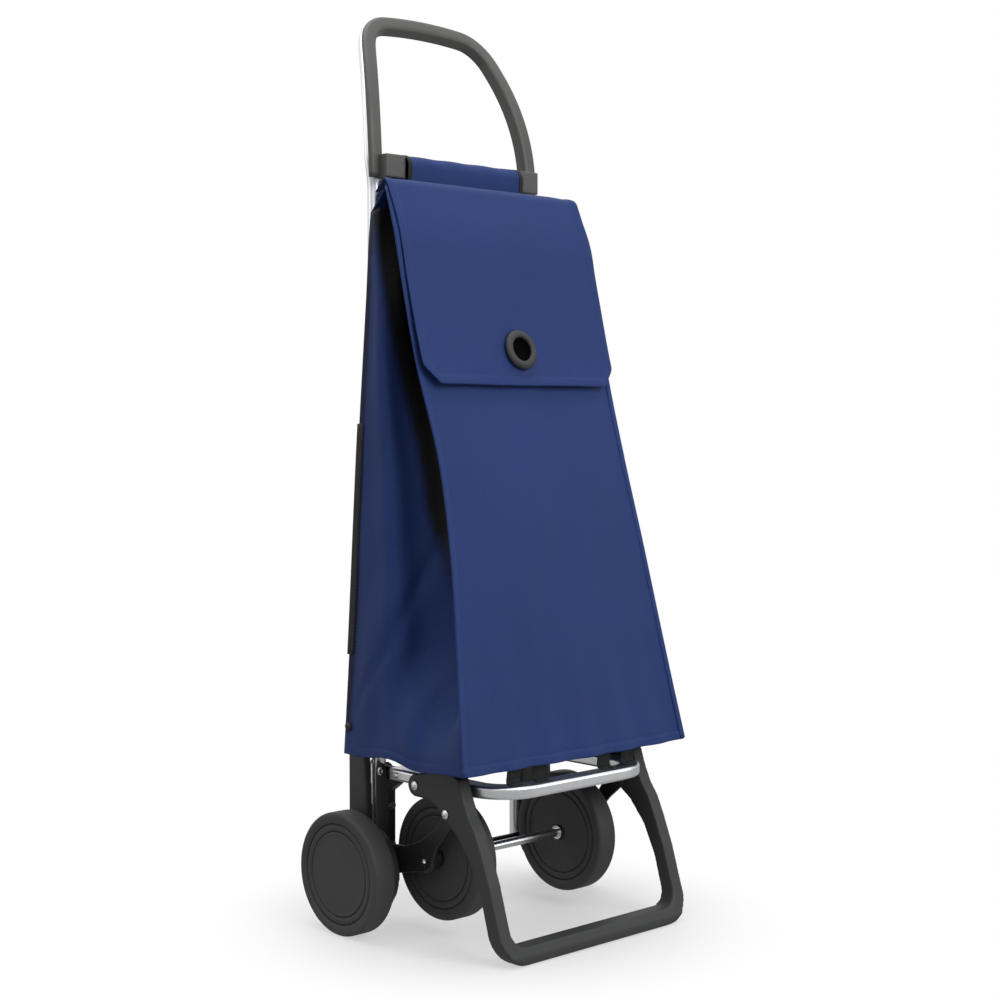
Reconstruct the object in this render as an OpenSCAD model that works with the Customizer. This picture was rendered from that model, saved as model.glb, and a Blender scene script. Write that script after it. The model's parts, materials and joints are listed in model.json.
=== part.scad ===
// Folding shopping trolley: aluminium frame, fabric bag, four wheels and a plastic foot loop.
// Origin on the floor under the middle of the trolley, front towards -Y, +Z up, millimetres.

/* [Wheels] */
// Diameter of every wheel
wheel_d = 140; // [134:1:142]
// Width of every wheel
wheel_w = 28; // [26:1:28]
// Height of the front wheels above the floor
front_lift = 19.5; // [18:0.5:21]
// Distance from the middle of the trolley to the middle of each front wheel
front_wheel_x = 96.5; // [95:0.5:96.5]
// Distance from the middle of the trolley to the middle of each rear wheel
rear_wheel_x = 175.5; // [175.5:0.5:180]
// Diameter of the bright front axle
front_axle_d = 10.5; // [10:0.1:11]
// Diameter of the black rear axle
rear_axle_d = 9; // [8.5:0.1:9.5]

/* [Frame] */
// Half width over the upright tubes
upright_half_w = 123; // [122:0.5:123]
// Width of the upright tubes, side to side
tube_w = 20; // [18:0.5:20]
// Depth of the upright tubes, front to back
tube_t = 15.5; // [14:0.5:16]
// Height at which the legs of the handle start to bow
bow_z = 876; // [872:1:886]
// Backward lean of the handle bow
handle_lean = 27; // [24:1:28]
// Height of the crossbar that the bag hangs from
crossbar_z = 874; // [870:1:878]

/* [Folding base] */
// Half width over the base tube
base_half_w = 125.5; // [125:0.1:125.5]
// Height of the centre of the base tube
base_z = 178.4; // [178:0.1:179]
// Height of the base tube section
base_h = 14; // [13:0.5:15]
// Outer radius of the front corners of the base tube
base_corner_r = 53; // [45:1:60]
// Forward reach of the base tube
base_front = 137; // [130:1:140]

/* [Foot loop] */
// Half width over the foot loop
foot_half_w = 148; // [146:1:148]
// Forward reach of the foot loop on the floor
foot_front = 165.7; // [160:0.1:168]
// Outer radius of the lower corners of the foot loop
foot_corner_r = 36; // [28:1:40]

/* [Bag] */
// Height of the bottom of the bag
bag_bottom_z = 206; // [205:1:208]
// Height of the top edge of the bag
bag_top_z = 846; // [840:1:848]
// Half width of the bag at its bottom
bag_bottom_half_w = 176; // [168:1:178]
// Half width of the bag at its top
bag_top_half_w = 151; // [146:1:154]
// Thickness of the bag walls
cloth_t = 2.4; // [2:0.1:3]
// Outer diameter of the ring on the flap
eyelet_d = 47; // [40:1:50]

/* [Hidden] */
$fn = 64;
gap = 0.3;               // clearance between pieces that move past each other
run_fit = 0.05;          // radial clearance of a shaft in its bore
far = 400;               // longer than any outline that it cuts

// Pivots as (Y, Z)
rear_axle_at = [66, wheel_d / 2];
front_axle_at = [-15, wheel_d / 2 + front_lift];
base_pivot = [69, base_z];
foot_pivot = [-20, base_z];
brace_pivot = [-71, 154];

// Upright and handle
tube_y = 86.5;
tube_front = tube_y - tube_t / 2;
tube_x = upright_half_w - tube_w / 2;
tube_bottom = 60;
bend_z = 860;
bend_r = 315;
bow_r = 410;             // radius of the slightly bowed legs of the handle
bow_a = 20;              // angle at which the legs meet the corners
corner_r = 46;           // radius of the handle's upper corners
crown_a = 84;            // angle at which the corners meet the crown
grip_front = 15.4;       // how far the grip's face lies in front of the tube's centre
grip_out = 9.5;          // how far the grip's centre lies outside the tube's
grip_w = 19;
grip_bottom = 886;

// Brackets
post_x = [111, upright_half_w];
strut_x = [140, 149.5];
plate_x = [upright_half_w + 0.5, 128.3];
brace_x = [base_half_w + 0.5, 130.3];
leg_x = [130.8, foot_half_w];
boss_inner_x = 111.3;

strut_bolt = [tube_y, 220];
side_bolt = [tube_y - 1, 188];
post_bolt_x = (post_x[0] + post_x[1]) / 2;
post_bolt_z = [95, 140];
post_front = 56.5;

// Bag outlines: front edge of the side profile as (Y, Z), and half widths as (X, Z)
bag_back = 70;
bag_mouth_y = 25;
front_edge = [
    [-131, bag_bottom_z], [-116, 286], [-87, 433], [-61, 537], [-27, 649], [-8, 736], [5, 796],
    [bag_mouth_y, bag_top_z],
];
half_widths = [
    [bag_bottom_half_w, bag_bottom_z], [160, 359], [151, 470], [150, 560], [152, 649], [156, 796],
    [bag_top_half_w, bag_top_z],
];
flap_hinge = [52, bag_top_z + 5];
flap_bottom_z = 622;
eyelet_z = 662;
eyelet_hole_d = 28;

alu = "#c9ccd0";
black = "#1c1d20";
grey = "#3a3c40";
blue = "#1d3a82";
steel = "#b4b6ba";

// Extrudes a (Y, Z) outline from x0 to x1
module along_x(x0, x1) {
    translate([x0, 0, 0]) rotate([90, 0, 90]) linear_extrude(x1 - x0) children();
}

// Extrudes an (X, Z) outline from y0 to y1
module along_y(y0, y1) {
    translate([0, y1, 0]) rotate([90, 0, 0]) linear_extrude(y1 - y0) children();
}

// Round bar of diameter d along X, centred on the point p = (Y, Z)
module rod(d, x0, x1, p) {
    translate([x0, p[0], p[1]]) rotate([0, 90, 0]) cylinder(d = d, h = x1 - x0);
}

// A piece made for the right side: side is 1 for the right and -1 for the left
module on_side(side) {
    mirror([side < 0 ? 1 : 0, 0, 0]) children();
}

// Round bar of diameter d along Y, centred on p = (X, Z)
module rod_y(d, y0, y1, p) {
    translate([p[0], y0, p[1]]) rotate([-90, 0, 0]) cylinder(d = d, h = y1 - y0);
}

module both_sides() {
    for (side = [-1, 1]) on_side(side) children();
}

module disc_at(p, r) {
    translate(p) circle(r = r);
}

// Flat-oval section, width w and height h
module oval(w, h) {
    square([w - h, h], center = true);
    for (x = [-1, 1]) translate([x * (w - h) / 2, 0]) circle(d = h);
}

// Dome head on the outside of a bolt, rising from x0 towards +X
module dome(d, h, x0, p) {
    translate([x0, p[0], p[1]]) rotate([0, 90, 0]) {
        cylinder(d = d, h = h * 0.4);
        intersection() {
            translate([0, 0, h - d * 0.7]) sphere(r = d * 0.7);
            cylinder(d = d, h = h);
        }
    }
}

// ---------- Handle ----------

// Points of an arc about c with radius r, from angle a0 to a1
function arc(c, r, a0, a1, n = 12) =
    [for (i = [0:n]) let (a = a0 + (a1 - a0) * i / n) c + r * [cos(a), sin(a)]];
function flipped(points) = [for (i = [len(points) - 1 : -1 : 0]) [-points[i][0], points[i][1]]];
function reversed(points) = [for (i = [len(points) - 1 : -1 : 0]) points[i]];

// Line at d behind the centre line of the bent upright: straight, bent back, then straight again
function bent_line(d, z0) =
    let (centre = [tube_y + bend_r, bend_z], r = bend_r - d, bend = arc(centre, r, 180, 180 - handle_lean))
    concat([[tube_y + d, z0]], bend, [bend[12] + 200 * [sin(handle_lean), cos(handle_lean)]]);

module bent_band(d0, d1, z0) {
    polygon(concat(bent_line(d0, z0), reversed(bent_line(d1, z0))));
}

// Right half of the handle's front outline, grown by off: bowed leg, round corner and shallow crown
function bow_half(x0, z0, z_low, off) =
    let (
        corner = [x0 - bow_r + (bow_r - corner_r) * cos(bow_a), z0 + (bow_r - corner_r) * sin(bow_a)],
        crown_r = corner_r + corner[0] / cos(crown_a),
        crown = [0, corner[1] + (corner_r - crown_r) * sin(crown_a)]
    )
    concat(
        [[x0 + off, z_low]],
        arc([x0 - bow_r, z0], bow_r + off, 0, bow_a, 6),
        arc(corner, corner_r + off, bow_a + 5, crown_a, 8),
        arc(crown, crown_r + off, crown_a + 3, 90, 4)
    );

module bow_ring(x0, z0, z_low, w) {
    outer = bow_half(x0, z0, z_low, w / 2);
    inner = bow_half(x0, z0, z_low - 1, -w / 2);
    difference() {
        polygon(concat(outer, flipped(outer)));
        polygon(concat(inner, flipped(inner)));
    }
}

module handle_tube() {
    color(alu) difference() {
        intersection() {
            along_y(0, 250) bow_ring(tube_x, bow_z - 6, tube_bottom, tube_w);
            along_x(-far, far) bent_band(-tube_t / 2, tube_t / 2, tube_bottom);
        }
        both_sides() {
            rod(6, tube_x, upright_half_w + 1, strut_bolt);
            rod(5, tube_x, upright_half_w + 1, side_bolt);
            for (z = post_bolt_z) rod_y(5, tube_front - 1, tube_y, [post_bolt_x, z]);
        }
    }
}

module handle_grip() {
    z_low = bend_z - 20;
    color(grey) intersection() {
        along_y(0, 250) bow_ring(tube_x + grip_out, bow_z, z_low, grip_w);
        along_x(-far, far) bent_band(-grip_front, -tube_t / 2 - 0.1, z_low);
        translate([-far / 2, -far / 2, grip_bottom]) cube(far);
    }
}

module crossbar() {
    color(black) rod(16, -104, 104, [67, crossbar_z]);
}

module crossbar_blocks() {
    color(black) both_sides() difference() {
        along_x(92.2, 121) translate([58, crossbar_z - 15]) square([tube_front - 58, 26.8]);
        rod(16, 90, 104, [67, crossbar_z]);
    }
}

// ---------- Bag ----------

// Where the bag's front face lies at height z
function front_y(z) = lookup(z, [for (p = front_edge) [p[1], p[0]]]);
function side_outline(t) = concat(
    [for (p = front_edge) [p[0] + t, max(p[1], bag_bottom_z + t)]],
    [[bag_back - t, bag_top_z], [bag_back - t, bag_bottom_z + t]]
);
function front_outline(t) = concat(
    [for (p = half_widths) [p[0] - t, p[1]]],
    [for (i = [len(half_widths) - 1 : -1 : 0]) [t - half_widths[i][0], half_widths[i][1]]]
);

module bag_shape(t) {
    intersection() {
        along_x(-far, far) polygon(side_outline(t));
        along_y(-far, far) polygon(front_outline(t));
    }
}

module bag_body() {
    color(blue) {
        difference() {
            bag_shape(0);
            bag_shape(cloth_t);
            translate([-130, bag_mouth_y, bag_top_z - 1]) cube([260, 30, 3]);
        }
        translate([-133, flap_hinge[0] + 3, bag_top_z - 0.01])
            cube([266, bag_back - flap_hinge[0] - 3, cloth_t]);
    }
}

module bag_sleeve() {
    color(blue) difference() {
        along_x(-92, 92) {
            disc_at([67, crossbar_z], 12);
            translate([64, bag_top_z + cloth_t]) square([8, crossbar_z - bag_top_z - cloth_t]);
        }
        rod(16, -93, 93, [67, crossbar_z]);
    }
}

module rear_pocket() {
    color(black) along_y(bag_back, bag_back + 3) polygon([[-172, 318], [172, 318], [161, 579], [-161, 579]]);
}

module bag_studs() {
    color(black) both_sides() dome(10, 4.2, 173.3, [64, 237]);
}

// Flap over the mouth: a short lid and a long front part, off in front of the bag
function flap_line(off) = concat(
    [[flap_hinge[0], flap_hinge[1] + off - 1], [bag_mouth_y - off, flap_hinge[1] + off - 1]],
    [for (i = [len(front_edge) - 2 : -1 : 4]) [front_edge[i][0] - off - 0.5, front_edge[i][1]]],
    [[front_y(flap_bottom_z) - off - 0.5, flap_bottom_z]]
);

module bag_flap() {
    inner = flap_line(1);
    outer = flap_line(1 + cloth_t);
    color(blue) difference() {
        intersection() {
            along_x(-bag_top_half_w - 1, bag_top_half_w + 1) {
                polygon(concat(inner, [for (i = [len(outer) - 1 : -1 : 0]) outer[i]]));
                disc_at(flap_hinge, 1.2);
            }
            along_y(-far, far) polygon([
                [-131, flap_bottom_z], [131, flap_bottom_z], [152, 644], [152, 900], [-152, 900], [-152, 644],
            ]);
        }
        at_eyelet() translate([0, 0, -10]) cylinder(d = eyelet_d - 9.4, h = 30);
    }
}

// Puts a piece on the flap's inner face at the ring, facing out
module at_eyelet() {
    slope = atan((front_y(736) - front_y(649)) / (736 - 649));
    translate([0, front_y(eyelet_z) - 1.5, eyelet_z]) rotate([90 - slope, 0, 0]) children();
}

module flap_eyelet() {
    color(black) at_eyelet() difference() {
        union() {
            cylinder(d = eyelet_d - 10, h = cloth_t + 1);
            translate([0, 0, cloth_t + 0.9]) cylinder(d = eyelet_d, h = 3.1);
        }
        translate([0, 0, -1]) cylinder(d = eyelet_hole_d, h = 12);
    }
}

// ---------- Rear brackets and axle ----------

module post(side) {
    back = tube_front;
    slot = [post_x[0] + 3, post_x[1] - 3];
    top = base_z - base_h / 2 - gap;
    color(black) on_side(side) difference() {
        union() {
            along_x(post_x[0], post_x[1]) {
                disc_at(rear_axle_at, 12.5);
                polygon([
                    [post_front, 70], [back, 70], [back, top], [39, top], [39, top - 2], [post_front, 157],
                ]);
            }
            for (x0 = [slot[0] - 3, slot[1]]) along_x(x0, x0 + 3) {
                disc_at(base_pivot, 9.7);
                translate([59.3, top - 3]) square([back - 59.3, base_z - top + 3]);
            }
        }
        along_x(slot[0], slot[1]) translate([57, top - 2.2]) square([30, 30]);
        rod(6, post_x[0] - 1, post_x[1] + 1, base_pivot);
        rod(rear_axle_d, post_x[0] - 1, post_x[1] + 1, rear_axle_at);
        for (z = post_bolt_z) rod_y(5, 50, back + 1, [post_bolt_x, z]);
    }
}

// Upright plate with a round lobe on the rear axle, outside the frame
module rear_strut(side) {
    color(grey) on_side(side) difference() {
        along_x(strut_x[0], strut_x[1]) {
            disc_at(rear_axle_at, 51);
            polygon([[60, 90], [95, 90], [95, 236], [72, 236], [72, 212], [66, 196]]);
        }
        rod(rear_axle_d, strut_x[0] - 1, strut_x[1] + 1, rear_axle_at);
        rod(6, strut_x[0] - 1, strut_x[1] + 1, strut_bolt);
    }
}

module strut_spacers() {
    color(black) both_sides() difference() {
        rod(14, upright_half_w, strut_x[0], strut_bolt);
        rod(6, upright_half_w - 1, strut_x[0] + 1, strut_bolt);
    }
}

module rear_axle() {
    end = rear_wheel_x + 10.7;
    color(black) rod(rear_axle_d, -end, end, rear_axle_at);
}

module axle_spacers() {
    color(black) both_sides() difference() {
        union() {
            rod(18, plate_x[1] + gap, strut_x[0], rear_axle_at);
            rod(11.6, strut_x[1], rear_wheel_x - 9.3, rear_axle_at);
        }
        rod(rear_axle_d, plate_x[1], rear_wheel_x, rear_axle_at);
    }
}

module axle_clips() {
    color(steel) both_sides() difference() {
        rod(15, rear_wheel_x + 9.2, rear_wheel_x + 10.7, rear_axle_at);
        rod(rear_axle_d, rear_wheel_x, rear_wheel_x + 12, rear_axle_at);
    }
}

module hinge_pins() {
    color(steel) both_sides() {
        rod(6, post_x[0], post_x[1], base_pivot);
        dome(10, 2.2, post_x[1], base_pivot);
    }
}

module frame_bolts() {
    color(steel) both_sides() {
        rod(6, tube_x, strut_x[1], strut_bolt);
        dome(10, 2.4, strut_x[1], strut_bolt);
        rod(5, tube_x, upright_half_w, side_bolt);
        dome(9, 2, upright_half_w, side_bolt);
        for (z = post_bolt_z) {
            rod_y(5, post_front, tube_y, [post_bolt_x, z]);
            rod_y(9, post_front - 2, post_front, [post_bolt_x, z]);
        }
    }
}

// ---------- Folding base ----------

base_tube_x = base_half_w - 12;
base_front_y = 12 - base_front;
base_bend = base_corner_r - 12;
base_end = 50;

// Rectangular tube section with rounded corners
module base_section(w, h) {
    r = 3.5;
    square([w - 2 * r, h], center = true);
    square([w, h - 2 * r], center = true);
    for (x = [-1, 1], y = [-1, 1]) disc_at([x * (w / 2 - r), y * (h / 2 - r)], r);
}

module base_tube() {
    bend_at = [base_tube_x - base_bend, base_front_y + base_bend];
    color(alu) translate([0, 0, base_z]) difference() {
        union() {
            both_sides() {
                translate([bend_at[0], bend_at[1], 0]) rotate([0, 0, -90]) rotate_extrude(angle = 90)
                    translate([base_bend, 0]) base_section(24, base_h);
                translate([base_tube_x, base_end, 0]) rotate([90, 0, 0])
                    linear_extrude(base_end - bend_at[1]) base_section(24, base_h);
            }
            translate([-bend_at[0], base_front_y, 0]) rotate([90, 0, 90])
                linear_extrude(2 * bend_at[0]) base_section(24, base_h);
        }
        both_sides() translate([base_tube_x, base_end + 1, 0]) rotate([90, 0, 0])
            linear_extrude(22) oval(21, base_h - 3);
        both_sides() translate([0, 0, -base_z]) rod(8, base_tube_x - 4, base_half_w + 1, foot_pivot);
    }
}

// Hinge tongue at each end of the base tube
module base_plugs() {
    tongue = [post_x[0] + 3 + gap, post_x[1] - 3 - gap];
    color(black) both_sides() difference() {
        union() {
            translate([base_tube_x, base_end, base_z]) rotate([90, 0, 0]) linear_extrude(20) oval(21, base_h - 3);
            along_x(base_tube_x - 11, base_half_w - 1.5)
                translate([base_end, base_z - base_h / 2 + 0.8]) square([4, base_h - 1.6]);
            along_x(tongue[0], tongue[1]) {
                disc_at(base_pivot, 8);
                translate([base_end, base_z - 7]) square([base_pivot[0] - base_end, 14]);
            }
        }
        rod(6 + 2 * run_fit, post_x[0] - 1, post_x[1] + 1, base_pivot);
    }
}

// Webbing tabs that tie the bag's bottom to the top of the base tube
module base_straps() {
    top = base_z + base_h / 2 + 0.05;
    color(black) for (x = [-91, -52, 52, 91]) along_x(x - 11, x + 11)
        translate([base_front_y - 3, top]) square([11, bag_bottom_z - top - gap]);
}

module base_rivets() {
    color(steel) both_sides() dome(7, 2, base_half_w + 0.02, [38, base_z]);
}

module base_board() {
    color(black) translate([-158, -118, bag_bottom_z + cloth_t + gap]) cube([316, 126, 3]);
}

module foot_pivots() {
    color(steel) both_sides() {
        rod(8, base_tube_x - 4, leg_x[1], foot_pivot);
        rod(15, base_half_w, leg_x[0] - gap, foot_pivot);
        dome(10, 2.4, leg_x[1], foot_pivot);
    }
}

// ---------- Foot loop ----------

module foot_side() {
    disc_at(foot_pivot, 12.6);
    polygon([
        [foot_pivot[0], base_z + 12.6], [-49, 197], [-60, 199], [-82, 199], [-91, 194], [-97, 176],
        [-106, 156], [-117, 141], [-126, 122], [-140.5, 86], [-153.5, 44], [3 - foot_front, 17],
        [-foot_front, 10], [-foot_front, 3], [3 - foot_front, 0], [-148, 0], [-145, 3], [-137, 35],
        [-126, 73], [-109, 108], [-87, 134], [-71, 145], [-58, 158], [-40, 165.8], [foot_pivot[0], base_z - 12.6],
    ]);
}

module foot_front_view(half_w, r, z_low) {
    translate([-half_w, z_low + r]) square([2 * half_w, 220]);
    translate([r - half_w, z_low]) square([2 * (half_w - r), r + 1]);
    for (side = [-1, 1]) translate([side * (half_w - r), z_low + r]) circle(r = r);
}

module foot_loop() {
    wall = leg_x[1] - leg_x[0];
    color(grey) difference() {
        intersection() {
            along_x(-far, far) foot_side();
            along_y(-far, far) difference() {
                foot_front_view(foot_half_w, foot_corner_r, 0);
                foot_front_view(foot_half_w - wall, foot_corner_r - wall, 20);
            }
        }
        both_sides() {
            rod(8 + 2 * run_fit, leg_x[0] - 1, leg_x[1] + 1, foot_pivot);
            rod(8, leg_x[0] - 1, leg_x[1] + 1, brace_pivot);
        }
    }
}

module foot_bolts() {
    color(steel) both_sides() {
        rod(8, leg_x[0], leg_x[1], brace_pivot);
        dome(10, 2.4, leg_x[1], brace_pivot);
    }
}

// ---------- Front link ----------

// Casting that carries the front axle: a plate back to the rear axle and a brace up to the foot loop
module side_link(side) {
    color(black) on_side(side) difference() {
        union() {
            along_x(plate_x[0], plate_x[1]) {
                disc_at(rear_axle_at, 13);
                disc_at(front_axle_at, 14);
                polygon([
                    [66, 57], [50, 65], [29, 68], [3, 74], [-17, 77], [-26, 85], [-32, 98], [-34, 130],
                    [-6, 111], [20, 101], [54, 98], [66, 83],
                ]);
            }
            along_x(brace_x[0], brace_x[1]) {
                disc_at(brace_pivot, 9);
                polygon([
                    [-15, 77], [-26, 85], [-36, 107], [-57, 131], [-78.2, 148.5], [-64.5, 160.2], [-46, 147],
                    [-34, 130], [-10, 112],
                ]);
            }
            rod(22, boss_inner_x, plate_x[0] + 0.1, front_axle_at);
        }
        rod(rear_axle_d + 2 * run_fit, plate_x[0] - 1, plate_x[1] + 1, rear_axle_at);
        rod(front_axle_d, boss_inner_x - 1, brace_x[1] + 1, front_axle_at);
        rod(14, plate_x[1], brace_x[1] + 1, front_axle_at);
        rod(8.4, brace_x[0] - 1, brace_x[1] + 1, brace_pivot);
    }
}

module front_axle() {
    color(steel) rod(front_axle_d, -plate_x[1], plate_x[1], front_axle_at);
}

module axle_bolts() {
    color(steel) both_sides() difference() {
        rod(11, plate_x[1], plate_x[1] + 1.9, front_axle_at);
        rod(5, plate_x[1] - 1, plate_x[1] + 3, front_axle_at);
    }
}

module axle_bushes() {
    color(black) both_sides() difference() {
        rod(15, front_wheel_x + 9.3, boss_inner_x, front_axle_at);
        rod(front_axle_d, front_wheel_x, boss_inner_x + 1, front_axle_at);
    }
}

module axle_collars() {
    color(steel) both_sides() difference() {
        rod(16, front_wheel_x - 16.5, front_wheel_x - 9.3, front_axle_at);
        rod(front_axle_d, front_wheel_x - 20, front_wheel_x, front_axle_at);
    }
}

module link_screws() {
    color(steel) both_sides() dome(6, 1.6, plate_x[1], [35, 78]);
}

// ---------- Wheels ----------

// Revolves a (radius, width) outline about a wheel's axle
module turned(x, p) {
    translate([x, p[0], p[1]]) rotate([0, 90, 0]) rotate_extrude() children();
}

rim_r = wheel_d / 2 - 13;
cover_r = rim_r - 8.5;

module tyre(x, p) {
    r = wheel_d / 2;
    h = wheel_w / 2;
    color(black) turned(x, p) polygon([
        [rim_r, -h + 0.6], [rim_r + 1, -h], [r - 3.5, -h], [r - 1, 1 - h], [r, 3.5 - h],
        [r, h - 3.5], [r - 1, h - 1], [r - 3.5, h], [rim_r + 1, h], [rim_r, h - 0.6],
    ]);
}

module rim(x, p, axle_d) {
    hub = axle_d / 2 + run_fit;
    h = wheel_w / 2;
    color(grey) turned(x, p) polygon([
        [hub, -9], [14, -9], [14, -4], [cover_r, -4], [cover_r, 0.6 - h], [rim_r, 0.6 - h],
        [rim_r, h - 0.6], [cover_r, h - 0.6], [cover_r, 4], [14, 4], [14, 9], [hub, 9],
    ]);
}

// Inner and outer cover discs: hole is the diameter of the hole in each
module covers(x, p, inner_hole, outer_hole) {
    h = wheel_w / 2;
    color(grey) for (side = [-1, 1]) {
        hole = side * x > 0 ? outer_hole : inner_hole;
        translate([x, p[0], p[1]]) rotate([0, 90, 0]) translate([0, 0, side * (h - 2)]) difference() {
            cylinder(r = cover_r, h = 2, center = true);
            if (hole > 0) cylinder(d = hole, h = 4, center = true);
        }
    }
}

handle_tube();
handle_grip();
crossbar();
crossbar_blocks();
bag_sleeve();
bag_body();
rear_pocket();
bag_studs();
post(-1);  // post_left
post(1);  // post_right
rear_strut(-1);  // rear_strut_left
rear_strut(1);  // rear_strut_right
strut_spacers();
rear_axle();
axle_spacers();
axle_clips();
hinge_pins();
frame_bolts();
base_tube();
base_plugs();
base_straps();
base_rivets();
base_board();
foot_pivots();
foot_loop();
foot_bolts();
side_link(-1);  // side_link_left
side_link(1);  // side_link_right
front_axle();
axle_bolts();
axle_bushes();
axle_collars();
link_screws();
bag_flap();
flap_eyelet();
tyre(-front_wheel_x, front_axle_at);  // front_left_tyre
rim(-front_wheel_x, front_axle_at, front_axle_d);  // front_left_rim
covers(-front_wheel_x, front_axle_at, 18, 18);  // front_left_covers
tyre(front_wheel_x, front_axle_at);  // front_right_tyre
rim(front_wheel_x, front_axle_at, front_axle_d);  // front_right_rim
covers(front_wheel_x, front_axle_at, 18, 18);  // front_right_covers
tyre(-rear_wheel_x, rear_axle_at);  // rear_left_tyre
rim(-rear_wheel_x, rear_axle_at, rear_axle_d);  // rear_left_rim
covers(-rear_wheel_x, rear_axle_at, 14, 0);  // rear_left_covers
tyre(rear_wheel_x, rear_axle_at);  // rear_right_tyre
rim(rear_wheel_x, rear_axle_at, rear_axle_d);  // rear_right_rim
covers(rear_wheel_x, rear_axle_at, 14, 0);  // rear_right_covers
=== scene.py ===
"""Folding shopping trolley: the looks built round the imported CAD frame. Metres, front towards -Y, +Z up."""
import functools
import json
import math

import bmesh
import bpy
import numpy as np
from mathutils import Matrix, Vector


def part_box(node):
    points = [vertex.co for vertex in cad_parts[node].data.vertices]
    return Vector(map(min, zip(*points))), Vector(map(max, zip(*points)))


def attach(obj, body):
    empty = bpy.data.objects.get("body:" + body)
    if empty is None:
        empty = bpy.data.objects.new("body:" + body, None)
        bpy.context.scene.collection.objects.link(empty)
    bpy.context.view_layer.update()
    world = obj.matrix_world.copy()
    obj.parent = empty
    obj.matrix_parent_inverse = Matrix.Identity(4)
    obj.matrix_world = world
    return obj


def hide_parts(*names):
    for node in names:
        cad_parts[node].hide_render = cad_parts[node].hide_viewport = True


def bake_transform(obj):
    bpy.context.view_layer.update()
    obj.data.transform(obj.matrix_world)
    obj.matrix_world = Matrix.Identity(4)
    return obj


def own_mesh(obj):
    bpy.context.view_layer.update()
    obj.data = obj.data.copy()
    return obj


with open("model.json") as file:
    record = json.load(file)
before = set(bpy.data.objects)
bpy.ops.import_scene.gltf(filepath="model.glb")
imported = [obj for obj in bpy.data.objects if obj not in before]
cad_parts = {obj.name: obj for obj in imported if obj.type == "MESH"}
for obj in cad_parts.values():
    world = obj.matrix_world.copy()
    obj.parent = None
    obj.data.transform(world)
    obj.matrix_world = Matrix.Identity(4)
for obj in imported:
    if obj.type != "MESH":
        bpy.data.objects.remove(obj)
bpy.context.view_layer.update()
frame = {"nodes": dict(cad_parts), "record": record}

MM = 0.001
NODES = frame["nodes"]


# ---------------------------------------------------------------- measures taken from the frame

def low(node):
    return np.array(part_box(node)[0])


def high(node):
    return np.array(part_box(node)[1])


def middle(node):
    return (low(node) + high(node)) / 2


JOINTS = {j["name"]: j for j in frame["record"]["behaviour"]["joints"]}
BAG_BOTTOM = low("bag_body")[2]
BAG_BACK = high("bag_body")[1]
CROSSBAR = middle("crossbar")
FLAP_HINGE = np.array(JOINTS["flap_hinge"]["pos_m"])
EYELET = middle("flap_eyelet")
TUBE_DEPTH = 15.5 * MM
TUBE_Y = low("handle_tube")[1] + TUBE_DEPTH / 2


# ---------------------------------------------------------------- camera, light and floor

def stage_and_light():
    scene = bpy.context.scene
    scene.view_settings.view_transform = "Standard"
    place_camera(scene)
    scene.world = studio_world()
    place_light("key", (0.1, -2.6, 1.9), (0, 0, 0.5), (1.6, 1.6), 37)
    place_light("side", (-2.5, -1.2, 1.6), (0, 0, 0.5), (0.9, 1.8), 4)
    place_light("top", (-0.2, 0.1, 3.0), (0, 0, 0.6), (2.0, 2.0), 26)
    place_light("gleam_back", (-1.9, 2.0, 0.9), (0, 0, 0.6), (1.6, 2.4), 8, diffuse=False)
    place_light("gleam_front", (1.9, -2.0, 0.8), (0, 0, 0.4), (1.2, 1.6), 8, diffuse=False)
    lay_floor(scene)


def place_camera(scene):
    camera = bpy.data.objects.new("camera", bpy.data.cameras.new("camera"))
    camera.location = (-1.4551, -1.5346, 0.5799)
    camera.rotation_euler = (math.radians(87.57), 0, math.radians(-43.5))
    camera.data.lens = 65.4
    camera.data.clip_end = 50
    scene.collection.objects.link(camera)
    scene.camera = camera


def studio_world():
    """Plain white to the camera; for light and reflections darker below and brighter above."""
    world = bpy.data.worlds.new("studio")
    world.use_nodes = True
    tree = world.node_tree
    seen = tree.nodes["Background"]
    seen.inputs["Color"].default_value = (1, 1, 1, 1)
    lit = tree.nodes.new("ShaderNodeBackground")
    place = tree.nodes.new("ShaderNodeTexCoord")
    split = tree.nodes.new("ShaderNodeSeparateXYZ")
    ramp = tree.nodes.new("ShaderNodeValToRGB")
    tree.links.new(place.outputs["Generated"], split.inputs["Vector"])
    tree.links.new(split.outputs["Z"], ramp.inputs["Fac"])
    ramp.color_ramp.elements[0].position, ramp.color_ramp.elements[0].color = 0.0, (0.34, 0.34, 0.35, 1)
    ramp.color_ramp.elements[1].position, ramp.color_ramp.elements[1].color = 0.85, (1.0, 1.0, 1.0, 1)
    tree.links.new(ramp.outputs["Color"], lit.inputs["Color"])
    rays = tree.nodes.new("ShaderNodeLightPath")
    gloss = tree.nodes.new("ShaderNodeMapRange")
    gloss.inputs["To Min"].default_value = 0.42
    gloss.inputs["To Max"].default_value = 1.4
    tree.links.new(rays.outputs["Is Glossy Ray"], gloss.inputs["Value"])
    tree.links.new(gloss.outputs["Result"], lit.inputs["Strength"])
    mix = tree.nodes.new("ShaderNodeMixShader")
    tree.links.new(rays.outputs["Is Camera Ray"], mix.inputs["Fac"])
    tree.links.new(lit.outputs["Background"], mix.inputs[1])
    tree.links.new(seen.outputs["Background"], mix.inputs[2])
    tree.links.new(mix.outputs["Shader"], tree.nodes["World Output"].inputs["Surface"])
    return world


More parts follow.
